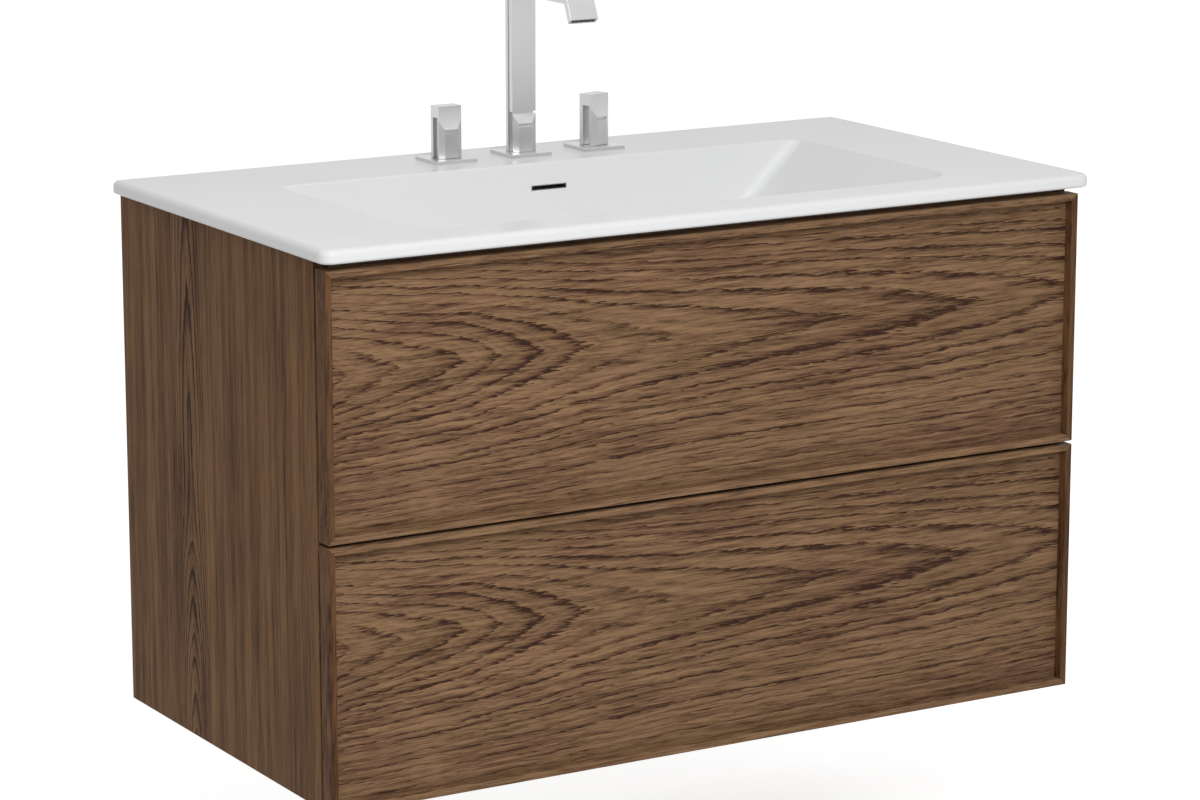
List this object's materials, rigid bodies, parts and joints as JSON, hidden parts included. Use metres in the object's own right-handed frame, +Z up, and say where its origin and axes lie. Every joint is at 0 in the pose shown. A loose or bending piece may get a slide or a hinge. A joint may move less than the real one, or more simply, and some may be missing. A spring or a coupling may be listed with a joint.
{
  "type": "vanity unit",
  "caption": "Wall-hung bathroom vanity with two framed oak drawers, a thin-edged white ceramic basin and a square-cut chrome three-hole tap.",
  "frame": {"origin": "centre of the four wall fixing holes, on the wall plane, 575 mm above the carcass's underside", "axes": "+X across the unit to its right as seen from the front, +Y into the wall, +Z up"},
  "size_m": [1, 0.534, 0.824],
  "materials": {
    "oak": "satin brown-stained oak, grain across the front",
    "oak_grain_upright": "satin brown-stained oak, grain upright",
    "carcass_board": "matt faced board",
    "zinc_steel": "zinc plated",
    "latch_plastic": "moulded grey plastic",
    "glazed_ceramic": "white glaze",
    "chrome": "polished",
    "brass": "turned",
    "rubber": "matt",
    "pipe_plastic": "white plastic",
    "outlet_plastic": "black plastic"
  },
  "bodies": {
    "carcass": {"carcass_side_right": "oak_grain_upright", "carcass_side_left": "oak_grain_upright", "carcass_bottom": "carcass_board", "upper_rear_rail": "carcass_board", "lower_rear_rail": "carcass_board", "front_rail": "carcass_board", "cam_fasteners": "zinc_steel", "wall_plates": "zinc_steel", "hanging_brackets": "zinc_steel", "lower_runner_cabinet_members": "zinc_steel", "upper_runner_cabinet_members": "zinc_steel", "lower_latch_housings": "latch_plastic", "upper_latch_housings": "latch_plastic", "basin": "glazed_ceramic", "overflow_trim": "chrome", "waste_flange": "chrome", "waste_seal": "rubber", "waste_nut": "chrome", "tail_pipe": "pipe_plastic", "trap": "pipe_plastic", "trap_outlet_pipe": "pipe_plastic", "slip_nuts": "pipe_plastic", "hot_valve_body": "brass", "hot_valve_plate": "chrome", "cold_valve_body": "brass", "cold_valve_plate": "chrome", "spout": "chrome", "spout_plate": "chrome", "spout_outlet": "outlet_plastic", "spout_shank": "brass", "back_nuts": "zinc_steel"},
    "upper_drawer": {"upper_front_frame": "oak", "upper_front_panel": "oak", "upper_box_front": "carcass_board", "upper_box_side_right": "carcass_board", "upper_box_side_left": "carcass_board", "upper_box_bottom": "carcass_board", "upper_runner_drawer_members": "zinc_steel", "upper_box_back_halves": "carcass_board", "upper_trap_guard": "carcass_board"},
    "lower_drawer": {"lower_front_frame": "oak", "lower_front_panel": "oak", "lower_box_front": "carcass_board", "lower_box_side_right": "carcass_board", "lower_box_side_left": "carcass_board", "lower_box_bottom": "carcass_board", "lower_runner_drawer_members": "zinc_steel", "lower_box_back": "carcass_board"},
    "upper_runner_middles": {"upper_runner_middle_members": "zinc_steel"},
    "lower_runner_middles": {"lower_runner_middle_members": "zinc_steel"},
    "hot_tap_handle": {"hot_handle": "chrome", "hot_spindle": "brass"},
    "cold_tap_handle": {"cold_handle": "chrome", "cold_spindle": "brass"},
    "plug": {"waste_plug": "chrome"},
    "upper_latch_plunger_right": {"upper_latch_plunger_right": "latch_plastic"},
    "upper_latch_plunger_left": {"upper_latch_plunger_left": "latch_plastic"},
    "lower_latch_plunger_right": {"lower_latch_plunger_right": "latch_plastic"},
    "lower_latch_plunger_left": {"lower_latch_plunger_left": "latch_plastic"}
  },
  "joints": [
    {"name": "upper_drawer_slide", "type": "slide", "parent": "carcass", "child": "upper_drawer", "axis": [0, -1, 0], "range_m": [0, 0.42]},
    {"name": "upper_runner_slide", "type": "slide", "parent": "carcass", "child": "upper_runner_middles", "axis": [0, -1, 0], "range_m": [0, 0.21]},
    {"name": "lower_drawer_slide", "type": "slide", "parent": "carcass", "child": "lower_drawer", "axis": [0, -1, 0], "range_m": [0, 0.42]},
    {"name": "lower_runner_slide", "type": "slide", "parent": "carcass", "child": "lower_runner_middles", "axis": [0, -1, 0], "range_m": [0, 0.21]},
    {"name": "hot_handle_turn", "type": "hinge", "parent": "carcass", "child": "hot_tap_handle", "pos_m": [-0.1016, -0.069, 0.05], "axis": [0, 0, 1], "range_deg": [0, 90]},
    {"name": "cold_handle_turn", "type": "hinge", "parent": "carcass", "child": "cold_tap_handle", "pos_m": [0.1016, -0.069, 0.05], "axis": [0, 0, 1], "range_deg": [-17, 73]},
    {"name": "plug_lift", "type": "slide", "parent": "carcass", "child": "plug", "axis": [0, 0, 1], "range_m": [0, 0.006]},
    {"name": "upper_latch_push_right", "type": "slide", "parent": "carcass", "child": "upper_latch_plunger_right", "axis": [0, 1, 0], "range_m": [0, 0.004], "stiffness_N_per_m": 400},
    {"name": "upper_latch_push_left", "type": "slide", "parent": "carcass", "child": "upper_latch_plunger_left", "axis": [0, 1, 0], "range_m": [0, 0.004], "stiffness_N_per_m": 400},
    {"name": "lower_latch_push_right", "type": "slide", "parent": "carcass", "child": "lower_latch_plunger_right", "axis": [0, 1, 0], "range_m": [0, 0.004], "stiffness_N_per_m": 400},
    {"name": "lower_latch_push_left", "type": "slide", "parent": "carcass", "child": "lower_latch_plunger_left", "axis": [0, 1, 0], "range_m": [0, 0.004], "stiffness_N_per_m": 400}
  ],
  "couplings": [
    {"joint": "upper_runner_slide", "follows": "upper_drawer_slide", "ratio": 0.5},
    {"joint": "lower_runner_slide", "follows": "lower_drawer_slide", "ratio": 0.5}
  ]
}
